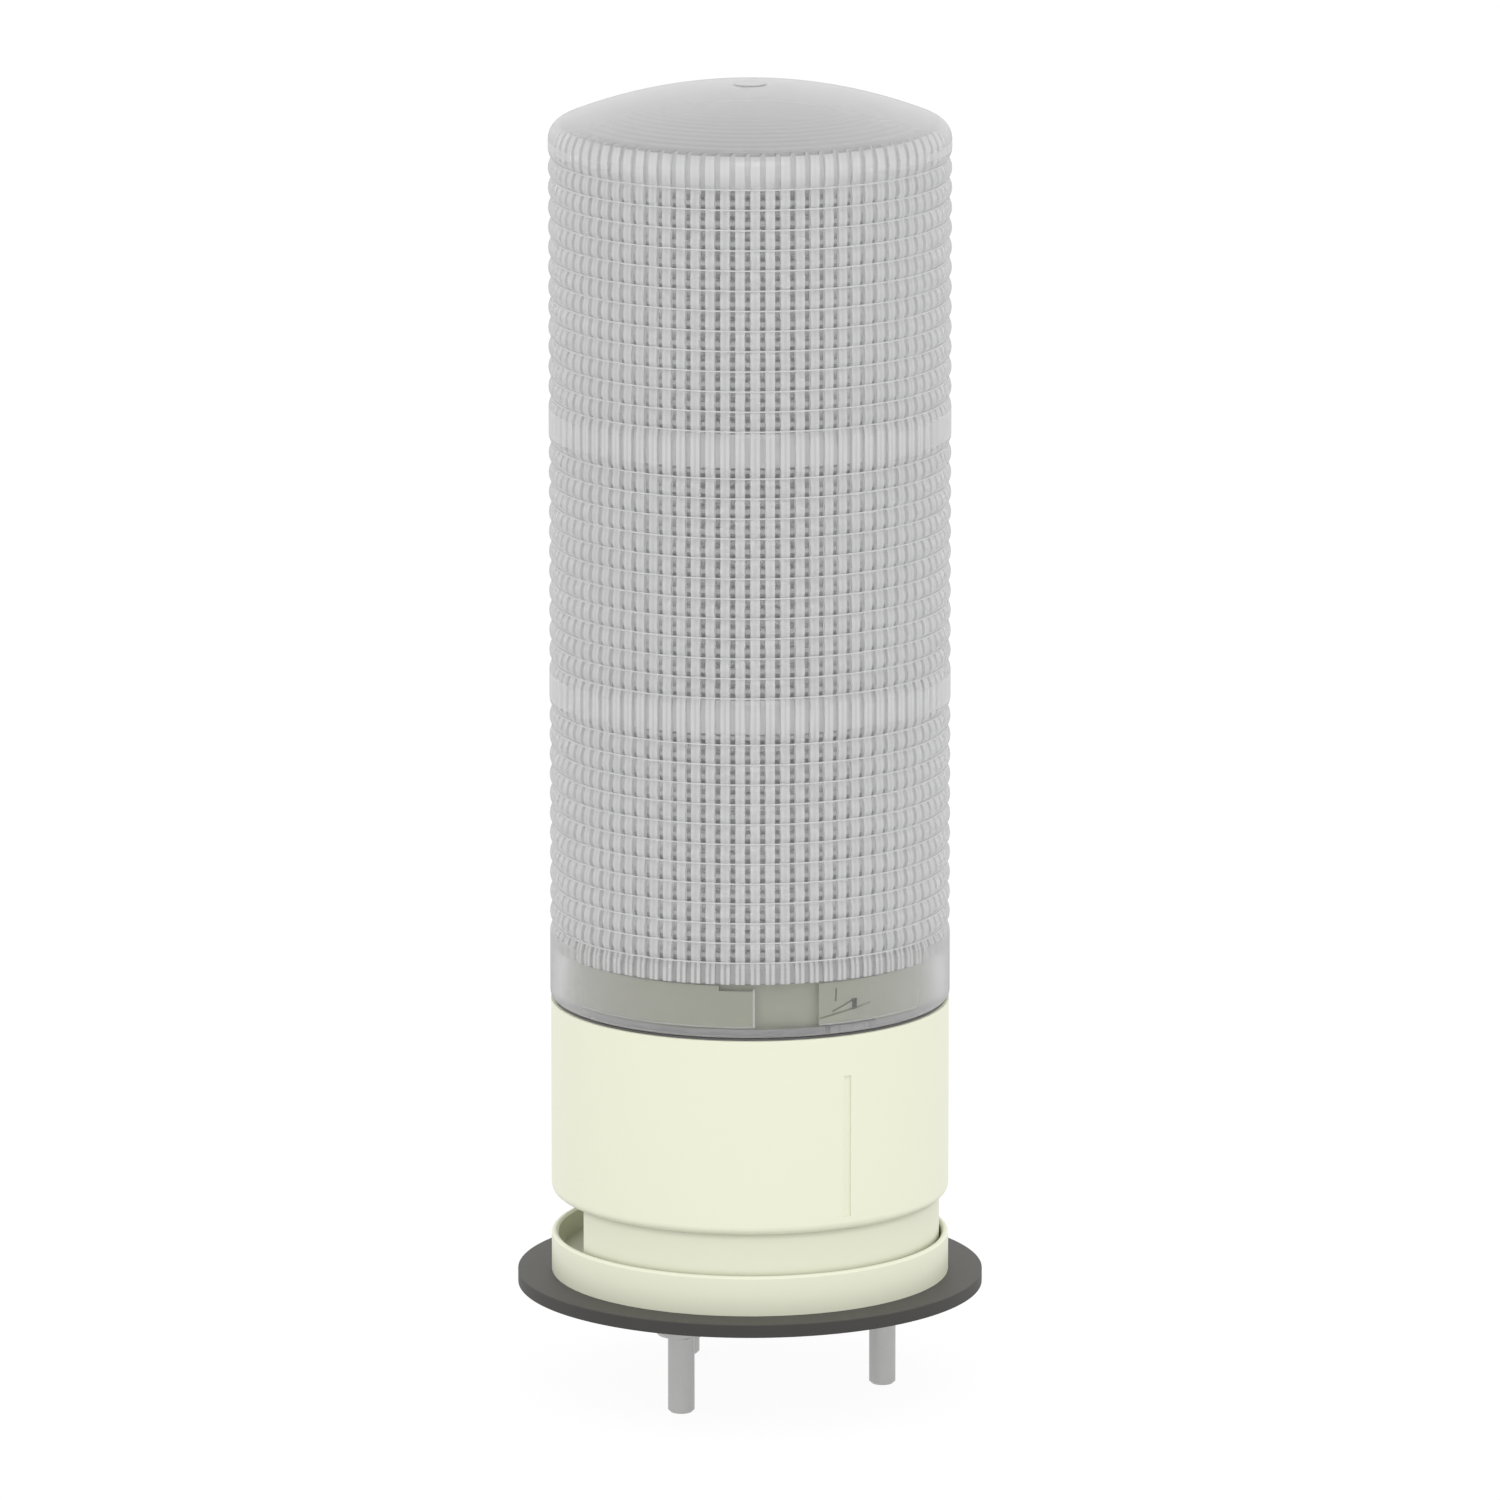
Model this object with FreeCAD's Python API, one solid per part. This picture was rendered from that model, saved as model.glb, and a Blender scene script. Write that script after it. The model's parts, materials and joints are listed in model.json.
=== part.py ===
import FreeCAD, Part
import math
import os
from FreeCAD import Vector

os.makedirs("parts", exist_ok=True)

# A round signal tower for a machine: three light tiers under one clear ribbed lens, on a base
# that is bolted down by three studs. Millimetres and degrees. +Z points up the tower. The
# origin is the centre of the rubber gasket's underside, which lies on the machine.
# Angles are measured from +X about +Z, and -90 is the front.

# Rubber gasket
gasket_margin = 5.1
gasket_h = 2.0
gasket_hole_d = 24.0

# Studs that hold the tower down, with their washers and nuts
stud_count = 3
stud_pcd = 40.0
stud_d = 4.0
stud_drop = 16.0
stud_tip_chamfer = 0.4
stud_core_d = 3.5
stud_shank_d = 4.6
stud_head_d = 7.0
stud_head_h = 1.6
first_stud_angle = -30.0
washer_d = 9.0
washer_h = 0.8
nut_flats = 7.0
nut_h = 3.2
nut_bevel = 0.45
nut_turn = 22.0
stud_boss_d = 9.6

# Base flange, the low cup on the gasket
flange_h = 6.0
flange_floor_h = 2.4
rim_wall = 1.0
rim_bevel = 0.35

# Base body
body_d = 59.8
body_h = 29.8
body_wall = 2.0
body_edge_round = 1.3
neck_step = 1.4
neck_back_step = 5.4
neck_show_h = 6.2
neck_floor_h = 2.0
groove_w = 1.2
groove_depth = 0.25
groove_bottom = 2.2
groove_h = 21.5

# Bosses and screws of the base
flange_screw_inset = 9.9
flange_boss_d = 6.4
flange_boss_h = 7.0
flange_screw_head_d = 5.6
flange_screw_head_h = 1.3
flange_screw_d = 3.0
flange_screw_reach = 6.0
chassis_screw_inset = 9.3
chassis_boss_d = 6.0
chassis_screw_head_d = 5.0
chassis_screw_head_h = 1.8
chassis_screw_d = 2.8
chassis_screw_length = 10.0
boss_rib_w = 2.0
post_inset = 7.0
post_d = 5.0
board_screw_head_d = 4.4
board_screw_head_h = 1.5
board_screw_d = 2.2
board_screw_length = 8.0

# Cable grommet in the body's floor
grommet_lip_d = 15.0
grommet_lip_h = 1.2
grommet_neck_d = 11.0
cable_bore_d = 6.4

# Circuit board in the base and what stands on it
board_to_wall = 3.4
board_h = 1.6
board_level = 13.6
board_rim = 1.2
terminal_w = 11.6
terminal_depth = 7.4
terminal_h = 9.0
terminal_ways = 4
terminal_well_d = 2.0
terminal_well_depth = 3.0
terminal_angle = 255.0
capacitor_d = 8.0
capacitor_h = 12.0
capacitor_gap = 1.2
capacitor_angle = 15.0
chip_w = 5.0
chip_depth = 4.0
chip_h = 1.6
chip_gap = 1.6
chip_angle = 135.0
socket_h = 7.0
socket_floor_h = 2.0
socket_wall = 1.4

# Chassis with the bayonet collar, which closes the body and carries the lens
deck_h = 2.0
deck_side_gap = 0.1
collar_gap = 0.5
collar_wall = 2.2
collar_h = 8.0
bayonet_count = 3
lug_path_h = 1.9
lug_path_depth = 1.2
entry_left = -117.5
entry_right = -97.7
slit_w = 0.3
slit_depth = 0.6
lower_slit = ((-97.7, 2.8), (-80.0, 4.3))
upper_slit = ((-93.4, 3.6), (-86.4, 5.0))
side_slit = ((-92.2, 5.1), (-92.0, 7.0))
lock_pocket_depth = 1.0
lock_pocket_angle = -85.6
lock_pocket_w = 0.8
lock_pocket_low = 3.6
lock_pocket_high = 5.2
notch_turn = -120.0
notch_span = 17.0
notch_h = 0.8
notch_depth = 1.2

# Lens, one clear moulding with its domed top
lens_overhang = 0.1
lens_gap = 0.4
skirt_h = 11.4
skirt_wall = 2.0
skirt_edge_round = 0.8
tier_count = 3
beads_in_tier = 11
top_beads = 12
bead_h = 3.0
bead_depth = 0.7
band_h = 7.0
band_shoulder_h = 0.9
band_shoulder_depth = 0.18
top_rim_h = 2.8
dome_round = 2.8
dome_rise_r = 75.0
dome_wall = 2.2
dome_hollow_step = 0.4
gate_mark_d = 5.0
gate_mark_h = 0.15
flute_count = 80
flute_ridge_wall = 2.9
flute_valley_wall = 2.1
flute_start = 8.8
first_rib_angle = -119.7
rib_foot_share = 0.40
rib_crest_share = 0.32
lug_span = 17.0
lug_h = 0.9
lug_gap = 0.3
lug_stop_gap = 0.9
twist_angle = 20.0

# Seal between the body and the lens
seal_inset = 0.5
seal_w = 1.0
seal_groove_depth = 0.4
seal_stand = 0.3

# Light tower inside the lens
led_face_r = 6.4
led_board_w = 13.0
led_board_h = 1.2
carrier_wall = 1.4
carrier_corner_r = 9.6
carrier_plug_h = 8.0
foot_h = 2.0
foot_w = 3.6
foot_pad_d = 6.0
foot_screw_r = 12.4
foot_screw_head_d = 4.2
foot_screw_head_h = 1.5
foot_screw_d = 2.2
foot_screw_length = 7.5
deck_boss_d = 5.2
deck_boss_h = 5.0
led_size = 5.0
led_h = 1.4
leds_in_row = 4
led_step = 8.0
partition_h = 1.6
diffuser_gap = 0.3
diffuser_wall = 1.0
tower_cap_h = 1.6
tower_top_gap = 0.2
cap_screw_head_d = 6.0
cap_screw_head_h = 2.0
cap_screw_d = 3.0
cap_screw_length = 7.0
led_clearance = 0.3

# Clearances
stud_clearance = 0.05
washer_clearance = 0.4
screw_clearance = 0.05
boss_clearance = 0.2
board_slot_clearance = 0.15
grommet_clearance = 0.05
boss_to_board = 0.5

# Levels up the tower
flange_bottom = gasket_h
flange_floor_top = flange_bottom + flange_floor_h
flange_top = flange_bottom + flange_h
body_bottom = flange_top + neck_show_h
body_top = body_bottom + body_h
neck_floor_top = flange_floor_top + neck_floor_h
board_bottom = neck_floor_top + board_level
board_top = board_bottom + board_h
deck_bottom = body_top - deck_h
collar_top = body_top + collar_h
lens_bottom = body_top + lens_gap
flutes_bottom = lens_bottom + flute_start
beads_bottom = lens_bottom + skirt_h
tier_pitch = beads_in_tier * bead_h + band_h
top_rim_bottom = beads_bottom + (tier_count - 1) * tier_pitch + top_beads * bead_h
dome_side_top = top_rim_bottom + top_rim_h
flutes_top = dome_side_top
tower_top = top_rim_bottom + tower_top_gap
led_board_bottom = board_top + socket_floor_h

# Radii, from the body outwards and then inwards
stud_r = stud_d / 2
body_r = body_d / 2
gasket_r = body_r + gasket_margin
neck_r = body_r - neck_step
neck_back_r = body_r - neck_back_step
cavity_r = body_r - body_wall
board_r = cavity_r - board_to_wall
flange_screw_r = body_r - flange_screw_inset
chassis_screw_r = body_r - chassis_screw_inset
post_r = board_r - post_inset
lens_r = body_r + lens_overhang
skirt_inner_r = lens_r - skirt_wall
flute_ridge_r = lens_r - flute_ridge_wall
flute_valley_r = lens_r - flute_valley_wall
dome_hollow_r = flute_ridge_r - dome_hollow_step
collar_r = skirt_inner_r - collar_gap
collar_inner_r = collar_r - collar_wall
lug_path_r = collar_r - lug_path_depth
diffuser_r = collar_inner_r - diffuser_gap
diffuser_inner_r = diffuser_r - diffuser_wall

# Where the lens's lugs are when it is locked, and where their path ends
locked_angle = (entry_left + entry_right) / 2 + twist_angle
path_end = locked_angle + lug_span / 2 + lug_stop_gap

# Directions of what repeats round the axis
even_turns = [360.0 * i / stud_count for i in range(stud_count)]
stud_angles = [first_stud_angle + turn for turn in even_turns]
flange_screw_angles = [angle + 60.0 for angle in stud_angles]
post_angles = list(stud_angles)
chassis_screw_angles = [angle - 30.0 for angle in stud_angles]
led_face_angles = [-90.0, 30.0, 150.0]
foot_angles = [angle + 60.0 for angle in led_face_angles]
bayonet_turns = [360.0 * i / bayonet_count for i in range(bayonet_count)]

up = Vector(0, 0, 1)
centre = Vector(0, 0, 0)
overrun = 1.0

# The centre of the dome's sphere, whose surface runs into the rounded shoulder, and its top
dome_sink = math.sqrt((dome_rise_r - dome_round) ** 2 - (lens_r - dome_round) ** 2)
dome_centre = Vector(0, 0, dome_side_top - dome_sink)
dome_top = dome_centre.z + dome_rise_r


def place(radius, angle, level=0.0):
    """A point at a radius and an angle about the tower's axis."""
    turn = math.radians(angle)
    return Vector(radius * math.cos(turn), radius * math.sin(turn), level)


def rod(radius, low, high, at=centre):
    """An upright cylinder from one level to another."""
    return Part.makeCylinder(radius, high - low, Vector(at.x, at.y, low), up)


def tube(outer, inner, low, high, at=centre):
    """An upright ring from one level to another."""
    return rod(outer, low, high, at).cut(rod(inner, low - overrun, high + overrun, at))


def sector(outer, inner, low, high, start, end):
    """A piece of an upright ring between two angles."""
    wedge = Part.makeCylinder(outer, high - low, Vector(0, 0, low), up, end - start)
    wedge.rotate(centre, up, start)
    return wedge.cut(rod(inner, low - overrun, high + overrun))


def turned(points):
    """A solid of revolution about the axis, from its half section of radii and levels."""
    wire = Part.makePolygon([Vector(r, 0, z) for r, z in points + points[:1]])
    return Part.Face(wire).revolve(centre, up, 360)


def block(width, depth, low, high, radius=0.0, angle=-90.0):
    """An upright block whose depth points outwards at a radius and an angle."""
    shape = Part.makeBox(depth, width, high - low, Vector(radius - depth / 2, -width / 2, low))
    shape.rotate(centre, up, angle)
    return shape


def prism(points, low, high):
    """An upright prism over a plan outline."""
    wire = Part.makePolygon([Vector(x, y, low) for x, y in points + points[:1]])
    return Part.Face(wire).extrude(Vector(0, 0, high - low))


def joined(shapes):
    """One solid from several that meet."""
    whole = shapes[0].fuse(shapes[1:]) if len(shapes) > 1 else shapes[0]
    return whole.removeSplitter()


def cut_all(shape, tools):
    """The shape with every tool cut out of it."""
    return shape.cut(Part.makeCompound(tools))


def around(make, turns):
    """Copies of one feature, each turned about the axis."""
    copies = []
    for turn in turns:
        copy = make.copy()
        copy.rotate(centre, up, turn)
        copies.append(copy)
    return copies


def mounting_gasket():
    """The flat rubber disc, open round the stud bosses and for the wires."""
    holes = [rod(gasket_hole_d / 2, -overrun, gasket_h + overrun)]
    for angle in stud_angles:
        at = place(stud_pcd / 2, angle)
        holes.append(rod(stud_boss_d / 2 + boss_clearance, -overrun, gasket_h + overrun, at))
    return cut_all(rod(gasket_r, 0, gasket_h), holes)


def base_flange():
    """The low cup under the body: a floor, a thin rim, and a boss round each stud."""
    inner = body_r - rim_wall
    cup = rod(body_r, flange_bottom, flange_top)
    cup = cup.cut(rod(inner, flange_floor_top, flange_top + overrun))
    rim_edges = [e for e in cup.Edges if e.BoundBox.ZMin > flange_top - 0.01]
    cup = cup.makeChamfer(rim_bevel, rim_edges)
    bosses = [cup]
    holes = [rod(gasket_hole_d / 2, -overrun, flange_top)]
    for angle in stud_angles:
        at = place(stud_pcd / 2, angle)
        seat = flange_floor_top - stud_head_h
        bosses.append(rod(stud_boss_d / 2, 0, flange_bottom, at))
        holes.append(rod(stud_shank_d / 2 + stud_clearance, -overrun, seat + overrun, at))
        holes.append(rod(stud_head_d / 2 + stud_clearance, seat, flange_top, at))
    for angle in flange_screw_angles:
        at = place(flange_screw_r, angle)
        seat = flange_bottom + flange_screw_head_h
        holes.append(rod(flange_screw_head_d / 2 + screw_clearance, -overrun, seat, at))
        holes.append(rod(flange_screw_d / 2 + screw_clearance, 0, flange_top, at))
    return cut_all(joined(bosses), holes)


def stud(at):
    """One stud: a bevelled tip, the free thread, its core in the nut, a shank and a flat head."""
    seat = flange_floor_top - stud_head_h
    nut_bottom = -washer_h - nut_h
    shape = turned([
        (0, -stud_drop),
        (stud_r - stud_tip_chamfer, -stud_drop),
        (stud_r, stud_tip_chamfer - stud_drop),
        (stud_r, nut_bottom),
        (stud_core_d / 2, nut_bottom),
        (stud_core_d / 2, 0),
        (stud_shank_d / 2, 0),
        (stud_shank_d / 2, seat),
        (stud_head_d / 2, seat),
        (stud_head_d / 2, flange_floor_top),
        (0, flange_floor_top),
    ])
    shape.translate(at)
    return shape


def stud_washer(at):
    """One plain washer against the stud's boss."""
    return tube(washer_d / 2, stud_core_d / 2 + washer_clearance, -washer_h, 0, at)


def stud_nut(at):
    """One hexagon nut with both faces bevelled at the corners."""
    corner = nut_flats / math.sqrt(3)
    low = -washer_h - nut_h
    high = -washer_h
    plan = [(corner * math.cos(math.radians(60 * i + nut_turn)),
             corner * math.sin(math.radians(60 * i + nut_turn))) for i in range(6)]
    bevel = turned([
        (0, low),
        (nut_flats / 2, low),
        (corner, low + nut_bevel),
        (corner, high - nut_bevel),
        (nut_flats / 2, high),
        (0, high),
    ])
    shape = prism(plan, low, high).common(bevel)
    shape = shape.cut(rod(stud_core_d / 2 + stud_clearance, low - overrun, high + overrun))
    shape.translate(at)
    return shape


def at_studs(make):
    """One of a thing on every stud."""
    return Part.makeCompound([make(place(stud_pcd / 2, angle)) for angle in stud_angles])


def flange_screws():
    """The screws that come up through the flange into the body."""
    screws = []
    for angle in flange_screw_angles:
        at = place(flange_screw_r, angle)
        head_top = flange_bottom + flange_screw_head_h
        head = rod(flange_screw_head_d / 2, flange_bottom, head_top, at)
        shank = rod(flange_screw_d / 2, head_top, flange_floor_top + flange_screw_reach, at)
        screws.append(joined([head, shank]))
    return Part.makeCompound(screws)


def front_half(radius, low, high, end_wall=0.0):
    """The front half of an upright cylinder, cut short of its flat side by a wall."""
    front = Part.makeBox(2 * radius, radius - end_wall, high - low, Vector(-radius, -radius, low))
    return rod(radius, low, high).common(front)


def body_bosses():
    """The body's inner columns: for the flange screws, the circuit board and the chassis."""
    columns = []
    for angle in flange_screw_angles:
        at = place(flange_screw_r, angle)
        columns.append(rod(flange_boss_d / 2, flange_floor_top, neck_floor_top + flange_boss_h, at))
    for angle in post_angles:
        at = place(post_r, angle)
        columns.append(rod(post_d / 2, flange_floor_top, board_bottom, at))
    for angle in chassis_screw_angles:
        at = place(chassis_screw_r, angle)
        columns.append(rod(chassis_boss_d / 2, flange_floor_top, deck_bottom, at))
        rib_depth = cavity_r + body_wall / 2 - chassis_screw_r
        middle = chassis_screw_r + rib_depth / 2
        columns.append(block(boss_rib_w, rib_depth, body_bottom, deck_bottom, middle, angle))
    return columns


def body_holes():
    """The blind screw holes in the columns, and the cable hole."""
    holes = [rod(grommet_neck_d / 2 + grommet_clearance, 0, neck_floor_top + overrun)]
    for angle in flange_screw_angles:
        at = place(flange_screw_r, angle)
        reach = flange_floor_top + flange_screw_reach + overrun
        holes.append(rod(flange_screw_d / 2 + screw_clearance, 0, reach, at))
    for angle in post_angles:
        at = place(post_r, angle)
        reach = board_top - board_screw_length - overrun
        holes.append(rod(board_screw_d / 2 + screw_clearance, reach, board_bottom + overrun, at))
    for angle in chassis_screw_angles:
        at = place(chassis_screw_r, angle)
        reach = body_top - chassis_screw_length - overrun
        holes.append(rod(chassis_screw_d / 2 + screw_clearance, reach, deck_bottom + overrun, at))
    return holes


def base_body():
    """The round housing: a thin shell, and a neck that stands in the flange's cup.

    The neck is full width over the front half and set back over the rear half.
    """
    shell = rod(body_r, body_bottom, body_top)
    low_edge = [e for e in shell.Edges if e.BoundBox.ZMax < body_bottom + 0.01]
    shell = shell.makeFillet(body_edge_round, low_edge)
    join = body_bottom + body_edge_round + overrun
    outside = joined([
        shell,
        front_half(neck_r, flange_floor_top, join),
        rod(neck_back_r, flange_floor_top, join),
    ])
    shelf_top = body_bottom + body_wall
    inside = joined([
        rod(cavity_r, shelf_top, body_top + overrun),
        front_half(neck_r - body_wall, neck_floor_top, shelf_top + overrun, body_wall),
        rod(neck_back_r - body_wall, neck_floor_top, shelf_top + overrun),
    ])
    columns = joined([outside.cut(inside)] + [c.common(outside) for c in body_bosses()])
    tools = body_holes()
    seal_outer = body_r - seal_inset
    seal_low = body_top - seal_groove_depth
    tools.append(tube(seal_outer, seal_outer - seal_w, seal_low, body_top + overrun))
    mark_low = body_bottom + groove_bottom
    mark = block(groove_w, groove_depth + overrun, mark_low, mark_low + groove_h,
                 body_r - groove_depth + (groove_depth + overrun) / 2)
    tools.append(mark)
    return cut_all(columns, tools)


def cable_grommet():
    """The rubber bush that the cable comes in through, held by a lip on each side."""
    low = flange_floor_top - grommet_lip_h
    high = neck_floor_top + grommet_lip_h
    lip = grommet_lip_d / 2
    neck = grommet_neck_d / 2
    bore = cable_bore_d / 2
    return turned([
        (bore, low),
        (lip, low),
        (lip, flange_floor_top),
        (neck, flange_floor_top),
        (neck, neck_floor_top),
        (lip, neck_floor_top),
        (lip, high),
        (bore, high),
    ])


def main_board():
    """The round circuit board, notched round the chassis columns."""
    tools = []
    for angle in chassis_screw_angles:
        at = place(chassis_screw_r, angle)
        tools.append(rod(chassis_boss_d / 2 + boss_to_board, board_bottom - overrun,
                         board_top + overrun, at))
        gap = block(boss_rib_w + 2 * boss_to_board, board_r, board_bottom - overrun,
                    board_top + overrun, chassis_screw_r + board_r / 2, angle)
        tools.append(gap)
    for angle in post_angles:
        at = place(post_r, angle)
        tools.append(rod(board_screw_d / 2 + screw_clearance, board_bottom - overrun,
                         board_top + overrun, at))
    return cut_all(rod(board_r, board_bottom, board_top), tools)


def pan_screw(at, seat, head_d, head_h, shank_d, length):
    """A screw with a low round head on its seat and a plain shank below."""
    head = rod(head_d / 2, seat, seat + head_h, at)
    return joined([head, rod(shank_d / 2, seat - length, seat, at)])


def board_screws():
    """The screws that hold the circuit board on its posts."""
    return Part.makeCompound([
        pan_screw(place(post_r, angle), board_top, board_screw_head_d, board_screw_head_h,
                  board_screw_d, board_screw_length) for angle in post_angles])


def terminal_block():
    """The screw terminals for the machine's wires, with a well over each screw."""
    high = board_top + terminal_h
    middle = board_r - board_rim - terminal_depth / 2
    body = block(terminal_w, terminal_depth, board_top, high)
    pitch = terminal_w / terminal_ways
    tools = []
    for i in range(terminal_ways):
        at = Vector(pitch * (i - (terminal_ways - 1) / 2), 0, 0)
        tools.append(rod(terminal_well_d / 2, high - terminal_well_depth, high + overrun, at))
    body = cut_all(body, tools)
    body.rotate(centre, up, terminal_angle + 90.0)
    body.translate(place(middle, terminal_angle))
    return body


def capacitors():
    """The two smoothing capacitors that stand side by side on the board."""
    middle = board_r - board_rim - capacitor_d / 2
    side_step = (capacitor_d + capacitor_gap) / 2
    pair = []
    for side in (-1, 1):
        at = Vector(middle, side * side_step, 0)
        can = rod(capacitor_d / 2, board_top, board_top + capacitor_h, at)
        can.rotate(centre, up, capacitor_angle)
        pair.append(can)
    return Part.makeCompound(pair)


def driver_chips():
    """The two driver chips that lie side by side on the board."""
    middle = board_r - board_rim - chip_depth
    side_step = (chip_w + chip_gap) / 2
    pair = []
    for side in (-1, 1):
        chip = block(chip_w, chip_depth, board_top, board_top + chip_h, middle, 0)
        chip.translate(Vector(0, side * side_step, 0))
        chip.rotate(centre, up, chip_angle)
        pair.append(chip)
    return Part.makeCompound(pair)


def board_sockets():
    """The three edge sockets that the upright boards plug into."""
    sockets = []
    middle = led_face_r - led_board_h / 2
    width = led_board_w + 2 * socket_wall
    depth = led_board_h + 2 * socket_wall
    for angle in led_face_angles:
        body = block(width, depth, board_top, board_top + socket_h, middle, angle)
        mouth = block(led_board_w + 2 * board_slot_clearance,
                      led_board_h + 2 * board_slot_clearance,
                      led_board_bottom, board_top + socket_h + overrun, middle, angle)
        sockets.append(body.cut(mouth))
    return Part.makeCompound(sockets)


def slit(ends):
    """A cutter for a thin straight slit in the collar's outside between two angles and heights."""
    (start, low), (end, high) = ends
    across = 2 * collar_r * math.sin(math.radians(end - start) / 2)
    rise = high - low
    length = math.hypot(across, rise)
    cutter = Part.makeBox(slit_depth + overrun, length, slit_w,
                          Vector(collar_r - slit_depth, -length / 2, -slit_w / 2))
    cutter.rotate(centre, Vector(1, 0, 0), math.degrees(math.atan2(rise, across)))
    cutter.translate(Vector(0, 0, body_top + (low + high) / 2))
    cutter.rotate(centre, up, (start + end) / 2)
    return cutter


def bayonet_cuts():
    """One bayonet place on the collar, all in its outside.

    The lug goes down the entry and turns along the path to the stop at its end. Over the
    path, thin slits free the catch's tongue beside its pocket, and the top edge has a notch.
    """
    low = body_top
    high = collar_top + overrun
    entry = sector(collar_r + overrun, lug_path_r, low, high, entry_left, entry_right)
    path = sector(collar_r + overrun, lug_path_r, low, low + lug_path_h, entry_left, path_end)
    pocket = block(lock_pocket_w, lock_pocket_depth + overrun, body_top + lock_pocket_low,
                   body_top + lock_pocket_high,
                   collar_r + (overrun - lock_pocket_depth) / 2, lock_pocket_angle)
    notch = sector(collar_r + overrun, collar_r - notch_depth, collar_top - notch_h, high,
                   notch_turn - notch_span / 2, notch_turn + notch_span / 2)
    return [entry, path, pocket, notch, slit(lower_slit), slit(upper_slit), slit(side_slit)]


def bayonet_chassis():
    """The cover over the body with the collar that the lens twists on to.

    It has three bayonet places in the collar for the lens's lugs, and a boss under the deck
    for each of the light tower's screws.
    """
    deck = rod(cavity_r - deck_side_gap, deck_bottom, body_top)
    collar = tube(collar_r, collar_inner_r, body_top, collar_top)
    cuts = []
    for feature in bayonet_cuts():
        cuts += around(feature, bayonet_turns)
    collar = cut_all(collar, cuts)
    holes = []
    for angle in led_face_angles:
        holes.append(block(led_board_w + 2 * board_slot_clearance,
                           led_board_h + 2 * board_slot_clearance,
                           deck_bottom - overrun, body_top + overrun,
                           led_face_r - led_board_h / 2, angle))
    for angle in chassis_screw_angles:
        at = place(chassis_screw_r, angle)
        holes.append(rod(chassis_screw_d / 2 + screw_clearance, deck_bottom - overrun,
                         body_top + overrun, at))
    bosses = []
    for angle in foot_angles:
        at = place(foot_screw_r, angle)
        boss_bottom = deck_bottom - deck_boss_h
        bosses.append(rod(deck_boss_d / 2, boss_bottom, deck_bottom, at))
        holes.append(rod(foot_screw_d / 2 + screw_clearance, boss_bottom - overrun,
                         body_top + overrun, at))
    return cut_all(joined([deck, collar] + bosses), holes)


def chassis_screws():
    """The screws that hold the chassis down in the body."""
    return Part.makeCompound([
        pan_screw(place(chassis_screw_r, angle), body_top, chassis_screw_head_d,
                  chassis_screw_head_h, chassis_screw_d, chassis_screw_length)
        for angle in chassis_screw_angles])


def lens_seal():
    """The dark rubber ring in the body's top edge."""
    outer = body_r - seal_inset
    return tube(outer, outer - seal_w, body_top - seal_groove_depth, body_top + seal_stand)


def triangle(inscribed):
    """The plan of the three-sided light tower, with a side behind each row of lights."""
    corner = 2 * inscribed
    points = [place(corner, angle) for angle in foot_angles]
    return [(p.x, p.y) for p in points]


def board_carrier():
    """The three-sided hollow post that the light boards lie against, with a foot per corner."""
    outer = led_face_r - led_board_h
    post = prism(triangle(outer), body_top, tower_top)
    post = post.common(rod(carrier_corner_r, body_top, tower_top))
    feet = []
    for angle in foot_angles:
        feet.append(block(foot_w, foot_screw_r - outer, body_top, body_top + foot_h,
                          (foot_screw_r + outer) / 2, angle))
        feet.append(rod(foot_pad_d / 2, body_top, body_top + foot_h, place(foot_screw_r, angle)))
    post = joined([post] + feet)
    hollow = prism(triangle(outer - carrier_wall), body_top - overrun,
                   tower_top - carrier_plug_h)
    hole = rod(cap_screw_d / 2 + screw_clearance, tower_top - carrier_plug_h - overrun,
               tower_top + overrun)
    foot_holes = [rod(foot_screw_d / 2 + screw_clearance, body_top - overrun,
                      body_top + foot_h + overrun, place(foot_screw_r, angle))
                  for angle in foot_angles]
    return cut_all(post, [hollow, hole] + foot_holes)


def carrier_screws():
    """The screws that hold the post's feet on the deck."""
    return Part.makeCompound([
        pan_screw(place(foot_screw_r, angle), body_top + foot_h, foot_screw_head_d,
                  foot_screw_head_h, foot_screw_d, foot_screw_length)
        for angle in foot_angles])


def led_board(angle):
    """One upright light board, from its socket up to the tower's cap."""
    return block(led_board_w, led_board_h, led_board_bottom, tower_top,
                 led_face_r - led_board_h / 2, angle)


def tier_leds(tier):
    """The lights of one tier, in a row up each board."""
    middle = beads_bottom + beads_in_tier * bead_h / 2 + tier * tier_pitch
    lights = []
    for angle in led_face_angles:
        for i in range(leds_in_row):
            level = middle + led_step * (i - (leds_in_row - 1) / 2)
            lights.append(block(led_size, led_h, level - led_size / 2, level + led_size / 2,
                                led_face_r + led_h / 2, angle))
    return Part.makeCompound(lights)


def partition_level(tier):
    """The middle of the plain band over a tier, where the tiers are parted."""
    return beads_bottom + (tier + 1) * tier_pitch - band_h / 2


def tier_partition(tier):
    """The disc that keeps one tier's light out of the next."""
    low = partition_level(tier) - partition_h / 2
    disc = rod(diffuser_r, low, low + partition_h)
    opening = prism(triangle(led_face_r + led_h + led_clearance), low - overrun,
                    low + partition_h + overrun)
    opening = opening.common(rod(carrier_corner_r + led_h, low - overrun,
                                 low + partition_h + overrun))
    return disc.cut(opening)


def tier_diffuser(tier):
    """The thin milky sleeve round one tier's lights."""
    low = body_top if tier == 0 else partition_level(tier - 1) + partition_h / 2
    last = tier == tier_count - 1
    high = tower_top if last else partition_level(tier) - partition_h / 2
    return tube(diffuser_r, diffuser_inner_r, low, high)


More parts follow.
